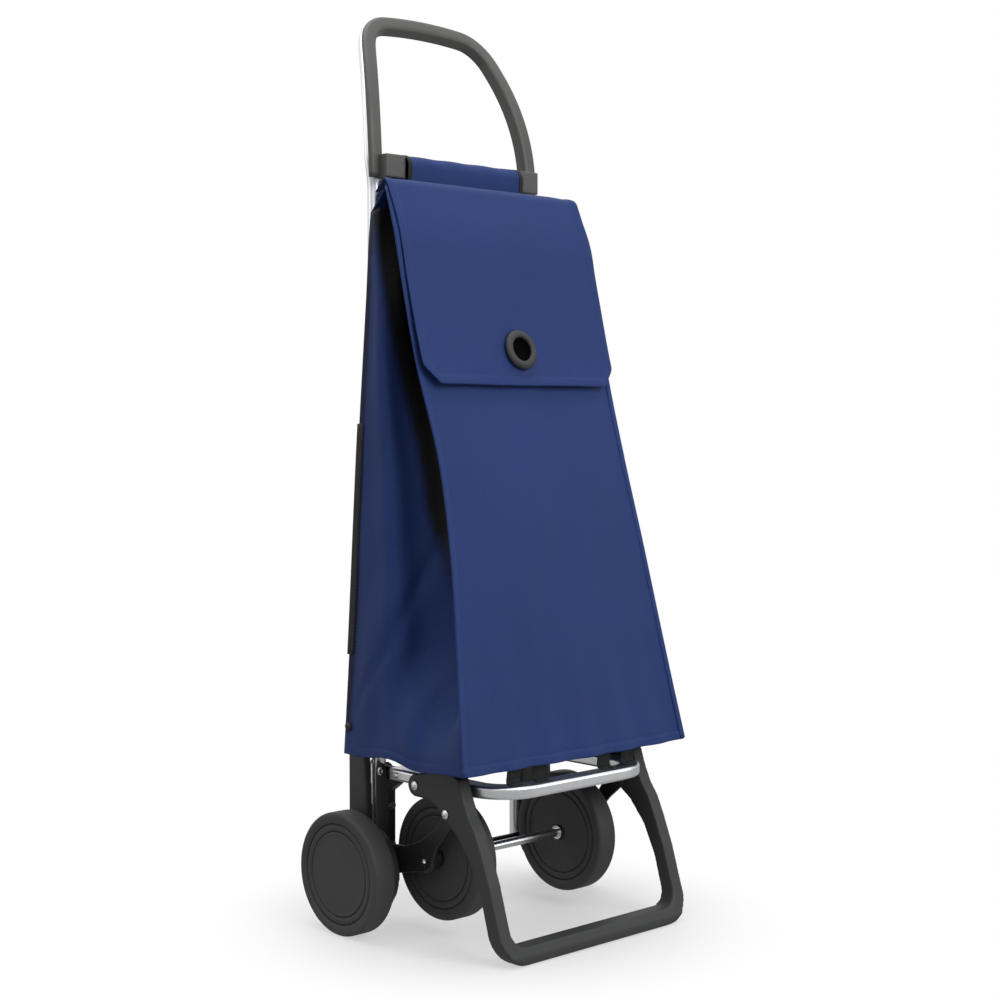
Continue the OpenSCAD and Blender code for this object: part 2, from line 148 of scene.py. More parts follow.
def place_light(name, place, aim, size, power, diffuse=True):
    """An area light at place, turned to aim; without diffuse it only shows as a gleam."""
    light = bpy.data.lights.new(name, "AREA")
    light.shape = "RECTANGLE"
    light.size, light.size_y = size
    light.energy = power
    lamp = bpy.data.objects.new(name, light)
    lamp.location = place
    lamp.rotation_euler = (Vector(aim) - Vector(place)).to_track_quat("-Z", "Y").to_euler()
    lamp.visible_diffuse = diffuse
    bpy.context.scene.collection.objects.link(lamp)


def lay_floor(scene):
    mesh = bpy.data.meshes.new("floor")
    reach = 12.0
    corners = [(-reach, -reach, 0), (reach, -reach, 0), (reach, reach, 0), (-reach, reach, 0)]
    mesh.from_pydata(corners, [], [(0, 1, 2, 3)])
    floor = bpy.data.objects.new("floor", mesh)
    scene.collection.objects.link(floor)
    mesh.materials.append(floor_paint())


def floor_paint():
    """White studio floor: shadows near the trolley, and plain white like the backdrop further out."""
    material = new_material("floor_paint", (0.9, 0.9, 0.9), 0.5)
    tree = material.node_tree
    place = tree.nodes.new("ShaderNodeTexCoord")
    length = tree.nodes.new("ShaderNodeVectorMath")
    length.operation = "LENGTH"
    tree.links.new(place.outputs["Object"], length.inputs[0])
    fade = tree.nodes.new("ShaderNodeMapRange")
    fade.interpolation_type = "SMOOTHSTEP"
    fade.inputs["From Min"].default_value = 0.14
    fade.inputs["From Max"].default_value = 0.35
    fade.inputs["To Min"].default_value = 0.45
    tree.links.new(length.outputs["Value"], fade.inputs["Value"])
    white = tree.nodes.new("ShaderNodeEmission")
    dim = tree.nodes.new("ShaderNodeMapRange")
    dim.inputs["To Min"].default_value = 0.4
    tree.links.new(tree.nodes.new("ShaderNodeLightPath").outputs["Is Camera Ray"], dim.inputs["Value"])
    tree.links.new(dim.outputs["Result"], white.inputs["Strength"])
    mix = tree.nodes.new("ShaderNodeMixShader")
    tree.links.new(fade.outputs["Result"], mix.inputs["Fac"])
    tree.links.new(tree.nodes["Principled BSDF"].outputs["BSDF"], mix.inputs[1])
    tree.links.new(white.outputs["Emission"], mix.inputs[2])
    tree.links.new(mix.outputs["Shader"], tree.nodes["Material Output"].inputs["Surface"])
    return material


# ---------------------------------------------------------------- materials

def new_material(name, color, roughness, **settings):
    """A plain Principled material; settings are further socket names and values."""
    material = bpy.data.materials.new(name)
    material.use_nodes = True
    shader = material.node_tree.nodes["Principled BSDF"]
    shader.inputs["Base Color"].default_value = (*color, 1)
    shader.inputs["Roughness"].default_value = roughness
    for socket, value in settings.items():
        shader.inputs[socket.replace("_", " ")].default_value = value
    return material


class Nodes:
    """Short names for building a node tree on a material."""

    def __init__(self, material):
        self.tree = material.node_tree
        self.shader = self.tree.nodes["Principled BSDF"]
        self.place = self.add("ShaderNodeTexCoord").outputs["Object"]

    def add(self, kind, **values):
        node = self.tree.nodes.new(kind)
        for name, value in values.items():
            if name in node.inputs:
                node.inputs[name].default_value = value
            else:
                setattr(node, name, value)
        return node

    def link(self, a, b):
        self.tree.links.new(a, b)

    def stretched(self, scale):
        mapping = self.add("ShaderNodeMapping")
        mapping.inputs["Scale"].default_value = scale
        self.link(self.place, mapping.inputs["Vector"])
        return mapping.outputs["Vector"]

    def noise(self, scale, detail, at=None):
        node = self.add("ShaderNodeTexNoise", Scale=scale, Detail=detail)
        self.link(at or self.place, node.inputs["Vector"])
        return node.outputs["Fac"]

    def math(self, operation, a, b):
        node = self.add("ShaderNodeMath", operation=operation)
        for socket, value in zip(node.inputs, (a, b)):
            if isinstance(value, (int, float)):
                socket.default_value = value
            else:
                self.link(value, socket)
        return node.outputs[0]

    def remap(self, value, low_out, high_out):
        node = self.add("ShaderNodeMapRange")
        node.inputs["To Min"].default_value = low_out
        node.inputs["To Max"].default_value = high_out
        self.link(value, node.inputs["Value"])
        return node.outputs["Result"]

    def mix(self, factor, a, b):
        """Mixes two colours, each an (r, g, b) tuple or another node's output."""
        node = self.add("ShaderNodeMix", data_type="RGBA")
        sockets = [s for s in node.inputs if s.type == "RGBA"]
        for socket, color in zip(sockets, (a, b)):
            if isinstance(color, tuple):
                socket.default_value = (*color, 1)
            else:
                self.link(color, socket)
        self.link(factor, node.inputs["Factor"])
        return [s for s in node.outputs if s.type == "RGBA"][0]

    def bump(self, height, distance):
        node = self.add("ShaderNodeBump", Distance=distance)
        self.link(height, node.inputs["Height"])
        self.link(node.outputs["Normal"], self.shader.inputs["Normal"])


def shade(color, amount):
    return tuple(c * amount for c in color)


def twill(name, color, period, sheen, depth, painted_dark=False):
    """Woven polyester: diagonal ribs crossed by fine threads, slight shade changes and a soft sheen.
    Where its mesh's painted-dark attribute is 1, the cloth is painted black and loses its sheen: painted
    shade inside the pleats, and nearly black rear edges."""
    finish = {"Sheen_Weight": sheen, "Sheen_Roughness": 0.45, "Specular_IOR_Level": 0.2}
    material = new_material(name, color, 0.62, **finish)
    n = Nodes(material)
    ribs = n.add("ShaderNodeTexWave", Scale=0.31 / period, Distortion=0.15, bands_direction="DIAGONAL")
    n.link(n.place, ribs.inputs["Vector"])
    cross = n.add("ShaderNodeTexWave", Scale=0.31 / period / 0.6, Distortion=0.1, bands_direction="Z")
    n.link(n.place, cross.inputs["Vector"])
    rib_share = n.math("MULTIPLY", ribs.outputs["Fac"], 0.7)
    weave = n.math("ADD", rib_share, n.math("MULTIPLY", cross.outputs["Fac"], 0.3))
    cloudy = n.noise(9.0, 3.0)
    tone = n.math("ADD", n.math("MULTIPLY", weave, 0.45), n.math("MULTIPLY", cloudy, 0.55))
    cloth = n.mix(tone, shade(color, 0.8), shade(color, 1.22))
    # Painted shade: black, without sheen, where the mask attribute is 1
    if painted_dark:
        pleat_shade_and_dark_edge = n.add("ShaderNodeAttribute", attribute_name="pleat_shade_and_dark_edge").outputs["Fac"]
        cloth = n.mix(pleat_shade_and_dark_edge, cloth, (0.003, 0.003, 0.003))
        n.link(n.remap(pleat_shade_and_dark_edge, sheen, 0), n.shader.inputs["Sheen Weight"])
    n.link(cloth, n.shader.inputs["Base Color"])
    n.link(n.remap(n.noise(300.0, 2.0), 0.54, 0.7), n.shader.inputs["Roughness"])
    n.bump(n.math("ADD", weave, n.math("MULTIPLY", n.noise(60.0, 3.0), 0.8)), depth)
    return material


def moulded(name, color, roughness, grain=0.00012):
    """Moulded plastic or rubber: fine grain, faint blotches in colour and gloss, paler rubbed spots."""
    material = new_material(name, color, roughness, Specular_IOR_Level=0.4)
    n = Nodes(material)
    rubbed = n.noise(14.0, 6.0)
    n.link(n.mix(rubbed, shade(color, 0.82), shade(color, 1.2)), n.shader.inputs["Base Color"])
    n.link(n.remap(n.noise(45.0, 4.0), roughness - 0.07, roughness + 0.07), n.shader.inputs["Roughness"])
    n.bump(n.noise(900.0, 3.0), grain)
    return material


def metal(name, color, roughness, along=(1, 1, 0.02)):
    """Drawn metal: fine lines along its length and slight changes of gloss."""
    material = new_material(name, color, roughness, Metallic=1.0)
    n = Nodes(material)
    lines = n.noise(900.0, 2.0, n.stretched(along))
    n.link(n.mix(n.noise(6.0, 3.0), shade(color, 0.93), shade(color, 1.05)), n.shader.inputs["Base Color"])
    n.link(n.remap(lines, roughness - 0.08, roughness + 0.1), n.shader.inputs["Roughness"])
    n.bump(lines, 0.00003)
    return material


def make_materials():
    blue = (0.0172, 0.0420, 0.166)
    return {
        "blue_fabric": twill("blue_twill", blue, 0.0016, 0.06, 0.00016),
        # The bag's cloth carries the painted black pleat shade and the nearly black rear edges
        "bag_fabric": twill("bag_twill", blue, 0.0016, 0.06, 0.00016, painted_dark=True),
        "blue_hem": twill("blue_hem", shade(blue, 1.08), 0.0013, 0.08, 0.00014),
        "black_fabric": twill("black_webbing", (0.012, 0.013, 0.015), 0.0022, 0.15, 0.0003),
        "black_plastic": moulded("black_plastic", (0.016, 0.0165, 0.017), 0.5),
        # Painted shade: near-black, almost without gloss, for the inside of the eyelet's hole
        "painted_hole_shade": new_material("painted_hole_shade", (0.001, 0.001, 0.001), 0.9, Specular_IOR_Level=0.04),
        "grey_plastic": moulded("dark_grey_plastic", (0.032, 0.033, 0.033), 0.55),
        "grip_plastic": moulded("grip_plastic", (0.088, 0.09, 0.083), 0.42),
        "tyre_rubber": moulded("tyre_rubber", (0.052, 0.053, 0.052), 0.7, 0.0002),
        "black_casting": moulded("black_casting", (0.018, 0.0185, 0.019), 0.42, 0.0002),
        "black_steel": metal("black_steel", (0.03, 0.03, 0.032), 0.4, (0.02, 1, 1)),
        "aluminium": metal("anodised_aluminium", (0.82, 0.83, 0.84), 0.3),
        "bright_steel": metal("bright_steel", (0.72, 0.72, 0.73), 0.25, (1, 1, 1)),
    }


# ---------------------------------------------------------------- mesh helpers

def make_piece(name, verts, faces, slot, body=None, paint=None):
    """A smooth-shaded object from points and faces; paint is its material where that isn't its slot's own."""
    mesh = bpy.data.meshes.new(name)
    mesh.from_pydata([tuple(v) for v in verts], [], faces)
    bm = bmesh.new()
    bm.from_mesh(mesh)
    bmesh.ops.remove_doubles(bm, verts=bm.verts, dist=1e-6)
    bmesh.ops.recalc_face_normals(bm, faces=bm.faces)
    bm.to_mesh(mesh)
    bm.free()
    mesh.polygons.foreach_set("use_smooth", [True] * len(mesh.polygons))
    piece = bpy.data.objects.new(name, mesh)
    bpy.context.scene.collection.objects.link(piece)
    mesh.materials.append(MATERIALS[paint or slot])
    if body:
        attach(piece, body)
    return piece


def apply_modifiers(piece):
    """Puts the modifiers' result in the mesh itself."""
    depsgraph = bpy.context.evaluated_depsgraph_get()
    mesh = bpy.data.meshes.new_from_object(piece.evaluated_get(depsgraph))
    piece.modifiers.clear()
    old = piece.data
    piece.data = mesh
    bpy.data.meshes.remove(old)
    mesh.polygons.foreach_set("use_smooth", [True] * len(mesh.polygons))


def make_cloth(piece, thickness, offset=0, rounded=False):
    """Gives a single layer of cloth its thickness; rounded also smooths it."""
    thick = piece.modifiers.new("cloth", "SOLIDIFY")
    thick.thickness = thickness
    thick.offset = offset
    if rounded:
        fine = piece.modifiers.new("fine", "SUBSURF")
        fine.levels = fine.render_levels = 1
    apply_modifiers(piece)


def softened(name, node, slot, body, voxel, rounds):
    """A moulded piece: the CAD node's own shape with its edges rounded over."""
    bm = bmesh.new()
    bm.from_mesh(NODES[node].data)
    mesh = bpy.data.meshes.new(name)
    bm.to_mesh(mesh)
    bm.free()
    piece = bpy.data.objects.new(name, mesh)
    bpy.context.scene.collection.objects.link(piece)
    mesh.materials.clear()
    mesh.materials.append(MATERIALS[slot])
    remesh = piece.modifiers.new("remesh", "REMESH")
    remesh.mode = "VOXEL"
    remesh.voxel_size = voxel
    remesh.use_smooth_shade = True
    relax = piece.modifiers.new("relax", "SMOOTH")
    relax.factor = 0.5
    relax.iterations = rounds
    apply_modifiers(piece)
    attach(piece, body)
    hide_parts(node)


def grid_faces(rows, columns, closed=False):
    """Faces of a grid of rows x columns points, closed round the columns or open."""
    span = columns if closed else columns - 1
    faces = []
    for r in range(rows - 1):
        for c in range(span):
            d = (c + 1) % columns
            faces.append((r * columns + c, r * columns + d, (r + 1) * columns + d, (r + 1) * columns + c))
    return faces


def sweep(points, across, outline):
    """Sweeps a closed outline [(a, b), ...] along points, with its ends closed.

    a lies along `across`, and b square to that and to the path. The outline may also be a list of outlines,
    one at each point."""
    points = np.array(points)
    tangent = np.gradient(points, axis=0)
    tangent /= np.linalg.norm(tangent, axis=1)[:, None]
    across = np.array(across) - tangent * np.sum(across * tangent, axis=1)[:, None]
    across /= np.linalg.norm(across, axis=1)[:, None]
    up = np.cross(tangent, across)
    ring = np.broadcast_to(outline, (len(points), *np.shape(outline)[-2:]))
    verts = points[:, None] + ring[:, :, :1] * across[:, None] + ring[:, :, 1:] * up[:, None]
    count = ring.shape[1]
    faces = grid_faces(len(points), count, closed=True)
    faces.append(tuple(range(count)))
    faces.append(tuple(range((len(points) - 1) * count, len(points) * count))[::-1])
    return verts.reshape(-1, 3), faces


def rounded_outline(width, height, radius, per_corner):
    """Rectangle with round corners, as (a, b) points about its centre."""
    points = []
    for k, (sx, sy) in enumerate([(1, 1), (-1, 1), (-1, -1), (1, -1)]):
        for i in range(per_corner + 1):
            angle = math.radians(90 * (k + i / per_corner))
            x = sx * (width / 2 - radius) + radius * math.cos(angle)
            y = sy * (height / 2 - radius) + radius * math.sin(angle)
            points.append((x, y))
    return points


def smooth_outline(points):
    """Rounds a closed outline's corners by cutting them twice."""
    points = np.array(points)
    for _ in range(2):
        after = np.roll(points, -1, axis=0)
        points = np.stack([0.75 * points + 0.25 * after, 0.25 * points + 0.75 * after], axis=1).reshape(-1, 2)
    return points


def clamp(value):
    """The value, kept between 0 and 1."""
    return min(1, max(0, value))


def lathe(profile, centre, count=96):
    """Turns (radius, x) points about the X axis through centre; the outline is closed."""
    verts = []
    for i in range(count):
        angle = 2 * math.pi * i / count
        for r, x in profile:
            verts.append(np.array(centre) + (x, r * math.cos(angle), r * math.sin(angle)))
    size = len(profile)
    faces = []
    for i in range(count):
        j = (i + 1) % count
        for k in range(size):
            m = (k + 1) % size
            faces.append((i * size + k, i * size + m, j * size + m, j * size + k))
    return verts, faces


def hermite(z, zs, vs):
    """Smooth curve through (zs, vs), with slopes from the neighbours."""
    zs, vs = np.array(zs, float), np.array(vs, float)
    slopes = np.gradient(vs, zs)
    z = np.clip(z, zs[0], zs[-1])
    k = np.clip(np.searchsorted(zs, z) - 1, 0, len(zs) - 2)
    h = zs[k + 1] - zs[k]
    t = (z - zs[k]) / h
    return (
        (2 * t**3 - 3 * t**2 + 1) * vs[k] + (t**3 - 2 * t**2 + t) * h * slopes[k]
        + (3 * t**2 - 2 * t**3) * vs[k + 1] + (t**3 - t**2) * h * slopes[k + 1]
    )


# ---------------------------------------------------------------- handle

def handle_route(z_low):
    """Centre line of the handle bow and its front-to-back direction, from z_low on the left up and over.

    Each upright (at x0) bends inwards from z0 in a wide arc, a tight corner and then a nearly flat crown."""
    x0, z0, spacing = 0.1225, 0.8755, 0.006
    bow_r, bow_a = 0.410, math.radians(20)
    corner_r, crown_a = 0.046, math.radians(84)
    bend_z, bend_r, lean = 0.860, 0.315, math.radians(27)
    inner_r = bow_r - corner_r
    corner = np.array([x0 - bow_r + inner_r * math.cos(bow_a), z0 + inner_r * math.sin(bow_a)])
    crown_r = corner_r + corner[0] / math.cos(crown_a)
    crown_z = corner[1] + (corner_r - crown_r) * math.sin(crown_a)

    half = [(x0, z) for z in np.arange(z_low, z0, spacing)]
    for centre, r, a0, a1 in (
        ((x0 - bow_r, z0), bow_r, 0, bow_a),
        (corner, corner_r, bow_a, crown_a),
        ((0, crown_z), crown_r, crown_a, math.pi / 2),
    ):
        steps = max(3, round(r * (a1 - a0) / spacing))
        for a in np.linspace(a0, a1, steps, endpoint=False):
            half.append((centre[0] + r * math.cos(a), centre[1] + r * math.sin(a)))
    flat = [(-x, z) for x, z in half] + [(0, crown_z + crown_r)] + half[::-1]

    route, across = [], []
    for x, z in flat:
        rise = z - bend_z
        angle = math.asin(min(max(rise / bend_r, 0), math.sin(lean)))
        y = TUBE_Y + bend_r * (1 - math.cos(angle)) + max(0, rise - bend_r * math.sin(lean)) * math.tan(lean)
        route.append((x, y, z))
        across.append((0, math.cos(angle), -math.sin(angle)))
    return route, across


def build_handle():
    """The uprights and bow, one flat-oval tube that narrows behind the grip; the grip and its end blocks."""
    route, across = handle_route(low("handle_tube")[2])
    spine = np.array(route)
    # The route follows the middle of the grip's width; below the grip the tube lies further in
    inset = 9.5
    wide = np.array(rounded_outline(TUBE_DEPTH, 20 * MM, 7.0 * MM, 7)) - (0, inset * MM)
    slim = np.array(rounded_outline(8.5 * MM, 15.5 * MM, 3.2 * MM, 7)) + (-4.4 * MM, 0.9 * MM)
    narrow_from, narrow_over = 0.848, 0.036
    rise = np.clip((spine[:, 2] - narrow_from) / narrow_over, 0, 1)
    rise = (3 * rise**2 - 2 * rise**3)[:, None, None]
    tube = sweep(route, across, wide * (1 - rise) + slim * rise)
    piece = make_piece("frame_tube", *tube, "aluminium", "frame")
    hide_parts("handle_tube")

    # The grip's section: a thick front and a thinner lip back along the tube's inner side
    section = [(-15.4, 4.5), (-14.1, 1.6), (-11.5, 0.2), (-1.2, 0.0), (0.0, 0.6), (0.2, 2.0), (-0.4, 2.6)]
    section += [(-8.2, 3.0), (-8.7, 4.0), (-8.8, 17.6), (-9.4, 18.6), (-10.6, 19.1), (-13.2, 18.4)]
    section += [(-14.9, 16.6), (-15.4, 14.4), (-15.5, 9.5)]
    section = smooth_outline([(a * MM, (b - inset) * MM) for a, b in section])
    route, across = handle_route(low("crossbar_blocks")[2] + 0.6 * MM)
    piece = make_piece("grip", *sweep(route, across, section), "grip_plastic", "frame")
    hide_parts("handle_grip")
    softened("grip_ends", "crossbar_blocks", "grip_plastic", "frame", 0.0012, 4)


# ---------------------------------------------------------------- wheels

def build_wheel(name, outer):
    """Tyre, rim and covers about the wheel's centre; outer is the X direction of its outer face."""
    body = name + "_wheel"
    tyre_lo, tyre_hi = low(name + "_tyre"), high(name + "_tyre")
    centre = middle(name + "_tyre")
    r = (tyre_hi[2] - tyre_lo[2]) / 2
    half = (tyre_hi[0] - tyre_lo[0]) / 2
    rim_r, cover_r = r - 13 * MM, r - 21.5 * MM

    shoulder = 4 * MM
    tyre = [(rim_r + 0.3 * MM, -half + 1.6 * MM), (rim_r + 1.5 * MM, -half)]
    for a in np.radians(range(0, 91, 15)):
        tyre.append((r - shoulder + shoulder * math.sin(a), -half + shoulder - shoulder * math.cos(a)))
    tyre += [(p, -q) for p, q in reversed(tyre)]
    piece = make_piece(name + "_tread", *lathe(tyre, centre), "tyre_rubber", body)
    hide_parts(name + "_tyre")

    rim_half = (high(name + "_rim")[0] - low(name + "_rim")[0]) / 2
    edge, sunk = rim_half - 0.3 * MM, 1.8 * MM - rim_half
    bore, hub_r = 5.4 * MM, 14 * MM
    rim = [(bore, -9 * MM), (hub_r, -9 * MM), (hub_r, -4 * MM), (cover_r, -4 * MM), (cover_r, sunk)]
    rim += [(cover_r + 1.2 * MM, -edge), (rim_r - 1.4 * MM, -edge), (rim_r - 0.1 * MM, sunk)]
    rim += [(p, -q) for p, q in reversed(rim)]
    piece = make_piece(name + "_wheel_rim", *lathe(rim, centre), "grey_plastic", body, paint="tyre_rubber")
    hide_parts(name + "_rim")

    verts, faces = [], []
    for side in (-1, 1):
        hole = 0.0
        if name.startswith("front"):
            hole = 9 * MM
        elif side * outer < 0:
            hole = 7 * MM
        profile = cover_profile(cover_r, max(hole, 0.01 * MM), hole + 0.8 * MM, side, half)
        v, f = lathe(profile, centre)
        faces += [tuple(i + len(verts) for i in face) for face in f]
        verts += list(v)
    piece = make_piece(name + "_discs", verts, faces, "grey_plastic", body, paint="tyre_rubber")
    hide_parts(name + "_covers")


def cover_profile(radius, hole, inner, side, half):
    """Section of a cover disc as (radius, x): a raised ring at its edge round a slightly sunken dish."""
    face, back, dish = side * (half - 1.0 * MM), side * (half - 3.0 * MM), side * (half - 1.5 * MM)
    rim = radius - 0.4 * MM
    return [
        (hole, back), (rim, back), (rim, face - side * 1.0 * MM), (radius - 1.6 * MM, face),
        (radius - 3 * MM, face), (radius - 4.4 * MM, dish), (radius - 5.6 * MM, dish),
        (inner, dish), (hole, dish),
    ]


# ---------------------------------------------------------------- bag

# Half widths and the front's place at a few heights, in metres
BAG_ZS = [0.206, 0.286, 0.359, 0.433, 0.537, 0.649, 0.736, 0.796, 0.846]
FRONT_HALF = [0.177, 0.168, 0.160, 0.153, 0.147, 0.151, 0.154, 0.155, 0.151]
FRONT_Y = [-0.132, -0.116, -0.102, -0.087, -0.061, -0.027, -0.008, 0.005, 0.025]
REAR_ZS = [0.206, 0.305, 0.583, 0.719, 0.816, 0.846]
REAR_HALF = [0.176, 0.169, 0.152, 0.142, 0.135, 0.131]
GUSSET_APEX = 0.300  # where each side's pleat opens into the flat bottom
FOLD_TOP = 0.846  # top of the front panel
REAR_TOP = 0.818  # top of each side at the rear
BACK_TOP = 0.858  # top of the back panel
PLEAT_SHADE_FROM = 0.360  # the painted black pleat shade starts at this height
ACROSS_STEPS, SIDE_STEPS = 56, 36  # points across the bag's front or back, and along each side
RING = 2 * (ACROSS_STEPS + SIDE_STEPS)
FLAP_REAR = 0.066  # the flap's rear seam, in Y


def front_half(z):
    return hermite(z, BAG_ZS, FRONT_HALF)


def front_y(z):
    return hermite(z, BAG_ZS, FRONT_Y)


def rear_half(z):
    return hermite(z, REAR_ZS, REAR_HALF)


@functools.lru_cache(maxsize=None)
def gusset_line(z, count):
    """One side of the bag at height z, in plan.

    It runs from the front edge in behind the front panel to the pleat, and out to the rear edge."""
    front = np.array([front_half(z), front_y(z)])
    rear = np.array([rear_half(z), BAG_BACK])
    open_low = np.clip((GUSSET_APEX + 0.03 - z) / 0.115, 0, 1)
    tucked = 1 - open_low**1.5

    # The front leaf lies close behind the front panel; the rear one bows out before it turns in
    valley = front + np.array([-0.070, 0.034]) * tucked
    shoulder = front * 0.40 + rear * 0.60 + np.array([-0.001, 0.004])
    lip = front * 0.66 + rear * 0.34 + np.array([-0.050, 0.014]) * tucked
    corners = [front, front + (valley - front) * 0.5 + np.array([0, -0.003]), valley, lip, shoulder, rear]
    even = [front + (rear - front) * t for t in (0, 0.12, 0.24, 0.36, 0.6, 1)]
    corners = np.array([c * tucked + e * (1 - tucked) for c, e in zip(corners, even)])
    along = np.concatenate([[0], np.cumsum(np.linalg.norm(np.diff(corners, axis=0), axis=1))])
    at = np.linspace(0, along[-1], count)
    line = np.array([np.interp(at, along, corners[:, k]) for k in (0, 1)]).T
    for _ in range(4):
        line[1:-1] = (line[:-2] + 2 * line[1:-1] + line[2:]) / 4
    return line


def side_wrinkle(u, z):
    """How far out the gusset's cloth stands at u (0 front edge, 1 rear edge) and height z."""
    rise = (z - BAG_BOTTOM) / (FOLD_TOP - BAG_BOTTOM)
    fade = math.sin(math.pi * clamp(u)) ** 0.7 * min(1, rise * 6 + 0.2) * min(1, (1.02 - rise) * 5)
    # Long soft folds and shorter creases
    folds = 4.4 * math.sin(u * 15 + 5.0 * rise + 1.3 * math.sin(rise * 7))
    folds += 2.0 * math.sin(u * 31 - 9.0 * rise + 0.8)
    folds += 1.6 * math.sin(rise * 30 + u * 9) * math.exp(-((rise - 0.28) / 0.22) ** 2)
    # Inverted V where the pleat opens into the flat bottom
    apex = 0.42
    for lean in (-1, 1):
        line = 0.45 + lean * (apex - rise) * 1.35
        folds -= 4.6 * math.exp(-((u - line) / 0.035) ** 2) * clamp((apex - rise) * 9)
    return folds * fade * MM


def front_wrinkle(s, z):
    """How far out the front panel's cloth stands: a soft belly and faint diagonal drag lines."""
    rise = (z - BAG_BOTTOM) / (FOLD_TOP - BAG_BOTTOM)
    drag = 1.1 * math.sin(s * 4.3 + rise * 6.5 + 0.6) + 0.7 * math.sin(s * 9.1 - rise * 11 + 1.9)
    low_folds = 2.0 * math.sin(s * 19 + rise * 6) * math.exp(-rise * 7)
    belly = 4.5 * (1 - s * s) * math.sin(math.pi * min(1, rise * 1.15))
    return (belly + (drag + low_folds) * (1 - s**6)) * MM


def hem(rise_mm):
    """Raised band of doubled cloth along an edge, with a stitched groove at its inner side."""
    width, depth = 10.0, 0.9
    band = depth / (1 + math.exp(min(40, (rise_mm - width) * 2.2)))
    groove = 0.8 * math.exp(-((rise_mm - width) / 0.9) ** 2)
    return (band - groove) * MM


def bag_ring(v):
    """Points round the bag at share v of its height: the front, one side, the back and the other side."""
    z = BAG_BOTTOM + v * (FOLD_TOP - BAG_BOTTOM)
    hemmed = hem((z - BAG_BOTTOM) / MM)
    half, y = front_half(z), front_y(z)
    loop = []
    for i in range(ACROSS_STEPS):
        s = -1 + 2 * i / ACROSS_STEPS
        sag = 1.2 * MM * (1 - s * s) * (1 - v)
        loop.append((s * half, y - front_wrinkle(s, z) - hemmed, z - sag))
    loop += [bag_side_point(1, k, v, hemmed) for k in range(SIDE_STEPS)]
    for i in range(ACROSS_STEPS):
        s = 1 - 2 * i / ACROSS_STEPS
        top = REAR_TOP + (BACK_TOP - REAR_TOP) * min(1, (1 - abs(s)) * 6)
        z = BAG_BOTTOM + v * (top - BAG_BOTTOM)
        loop.append((s * rear_half(z), BAG_BACK, z))
    loop += [bag_side_point(-1, k, v, hemmed) for k in range(SIDE_STEPS, 0, -1)]
    return loop


def bag_side_point(side, k, v, hemmed):
    """Point k along one side of the bag, counted from the front, at share v of the side's height there."""
    u = k / SIDE_STEPS
    top = FOLD_TOP + (REAR_TOP - FOLD_TOP) * u
    z = BAG_BOTTOM + v * (top - BAG_BOTTOM)
    line = gusset_line(z, SIDE_STEPS + 1)
    x, y = line[k]
    out = side_wrinkle(u, z) + hemmed * math.sin(math.pi * u)
    ahead = line[min(k + 1, SIDE_STEPS)] - line[max(k - 1, 0)]
    ahead /= np.linalg.norm(ahead)
    droop = 5.0 * MM * math.sin(math.pi * u) ** 2 * math.sin(u * 9 + 2) * (1 - v) ** 8
    return (side * (x + ahead[1] * out), y - ahead[0] * out, z + droop)


def close_bottom(verts):
    """Faces of the bag's bottom, in rows from side to side; its points inside the ring are added to verts."""
    index = {}
    for k in range(SIDE_STEPS + 1):
        for i in range(ACROSS_STEPS + 1):
            if k == 0:
                index[k, i] = i
            elif k == SIDE_STEPS:
                index[k, i] = (ACROSS_STEPS + SIDE_STEPS + (ACROSS_STEPS - i)) % RING
            elif i == ACROSS_STEPS:
                index[k, i] = ACROSS_STEPS + k
            elif i == 0:
                index[k, i] = RING - k
            else:
                left, right = np.array(verts[RING - k]), np.array(verts[ACROSS_STEPS + k])
                index[k, i] = len(verts)
                verts.append(tuple(left + (right - left) * i / ACROSS_STEPS))
    faces = []
    for k in range(SIDE_STEPS):
        for i in range(ACROSS_STEPS):
            faces.append((index[k, i], index[k + 1, i], index[k + 1, i + 1], index[k, i + 1]))
    return faces


def build_bag():
    """The bag, as rings of points from its bottom edge up and a bottom panel."""
    shares = np.concatenate([np.linspace(0, 0.030, 14), np.linspace(0.034, 1, 112)])
    verts = [point for v in shares for point in bag_ring(v)]
    faces = grid_faces(len(shares), RING, closed=True)
    faces += close_bottom(verts)
    piece = make_piece("bag", verts, faces, "blue_fabric", paint="bag_fabric")
    paint_pleat_shade_and_dark_edges(piece)
    make_cloth(piece, 1.4 * MM, offset=-1)
    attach(piece, "frame")
    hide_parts("bag_body")
    middle_z = (BAG_BOTTOM + FOLD_TOP) / 2
    side_length = np.linalg.norm(np.diff(gusset_line(middle_z, 60), axis=0), axis=1).sum()
    squash_bag(piece)


